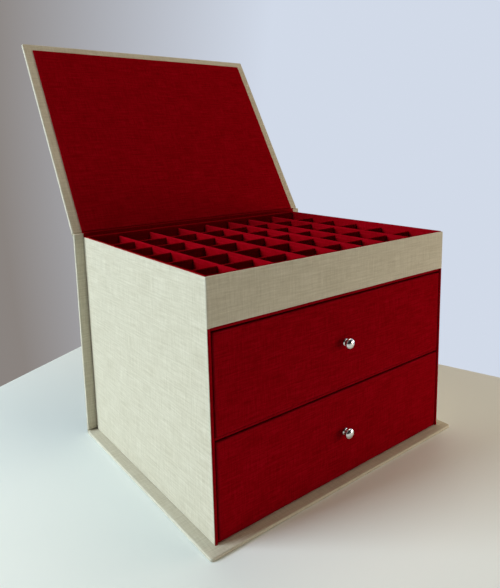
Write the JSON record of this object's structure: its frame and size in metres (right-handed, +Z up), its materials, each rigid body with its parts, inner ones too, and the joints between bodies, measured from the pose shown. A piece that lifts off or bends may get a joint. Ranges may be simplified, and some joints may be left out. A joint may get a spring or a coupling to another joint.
{
  "type": "embroidery thread drawer box",
  "caption": "Cloth-covered thread box: book-style hinged lid over an open tray of divided cells, with drawers below that pull out by small round metal knobs.",
  "frame": {"origin": "centre of the base board's underside, which rests on the table", "axes": "+X to the right seen from the drawers, +Y from the drawers to the spine, +Z up; the lid stands open"},
  "size_m": [0.3204, 0.3866, 0.4428],
  "materials": {
    "greige_linen": "natural greige linen bookcloth with a fine uneven plain weave, matt, glued over grey board",
    "crimson_cloth": "deep crimson cotton bookcloth with a fine weave, matt, glued over board and card",
    "chrome": "polished chrome plate",
    "zinc_steel": "bright zinc-plated steel, lightly turned"
  },
  "bodies": {
    "carcass": {"base_board": "greige_linen", "spine_board": "greige_linen", "base_hinge_cloth": "greige_linen", "lid_hinge_cloth": "greige_linen", "left_wall": "greige_linen", "right_wall": "greige_linen", "front_fascia": "greige_linen", "back_wall": "crimson_cloth", "carcass_bottom": "crimson_cloth", "middle_shelf": "crimson_cloth", "tray_floor": "crimson_cloth", "bay_lining_left": "crimson_cloth", "bay_lining_right": "crimson_cloth", "tray_lining_left": "crimson_cloth", "tray_lining_right": "crimson_cloth", "tray_lining_front": "crimson_cloth", "tray_lining_back": "crimson_cloth", "tray_lining_floor": "crimson_cloth", "lid_hinge_lining": "crimson_cloth", "long_divider_1": "crimson_cloth", "long_divider_2": "crimson_cloth", "long_divider_3": "crimson_cloth", "long_divider_4": "crimson_cloth", "long_divider_5": "crimson_cloth", "long_divider_6": "crimson_cloth", "long_divider_7": "crimson_cloth", "cross_divider_1": "crimson_cloth", "cross_divider_2": "crimson_cloth", "cross_divider_3": "crimson_cloth", "cross_divider_4": "crimson_cloth", "cross_divider_5": "crimson_cloth"},
    "lid": {"lid_board": "greige_linen", "lid_lining": "crimson_cloth"},
    "upper_drawer": {"upper_drawer_face": "crimson_cloth", "upper_drawer_box_front": "crimson_cloth", "upper_drawer_left_side": "crimson_cloth", "upper_drawer_right_side": "crimson_cloth", "upper_drawer_back": "crimson_cloth", "upper_drawer_bottom": "crimson_cloth", "upper_drawer_lining": "crimson_cloth", "upper_drawer_knob": "chrome", "upper_drawer_knob_screw": "zinc_steel", "upper_drawer_knob_washer": "zinc_steel"},
    "lower_drawer": {"lower_drawer_face": "crimson_cloth", "lower_drawer_box_front": "crimson_cloth", "lower_drawer_left_side": "crimson_cloth", "lower_drawer_right_side": "crimson_cloth", "lower_drawer_back": "crimson_cloth", "lower_drawer_bottom": "crimson_cloth", "lower_drawer_lining": "crimson_cloth", "lower_drawer_knob": "chrome", "lower_drawer_knob_screw": "zinc_steel", "lower_drawer_knob_washer": "zinc_steel"}
  },
  "joints": [
    {"name": "lid_hinge", "type": "hinge", "parent": "carcass", "child": "lid", "pos_m": [0, 0.12577, 0.22568], "axis": [1, 0, 0], "range_deg": [0, 120.6], "deforming": ["lid_hinge_cloth", "lid_hinge_lining"]},
    {"name": "upper_drawer_slide", "type": "slide", "parent": "carcass", "child": "upper_drawer", "axis": [0, -1, 0], "range_m": [0, 0.2]},
    {"name": "lower_drawer_slide", "type": "slide", "parent": "carcass", "child": "lower_drawer", "axis": [0, -1, 0], "range_m": [0, 0.2]}
  ]
}
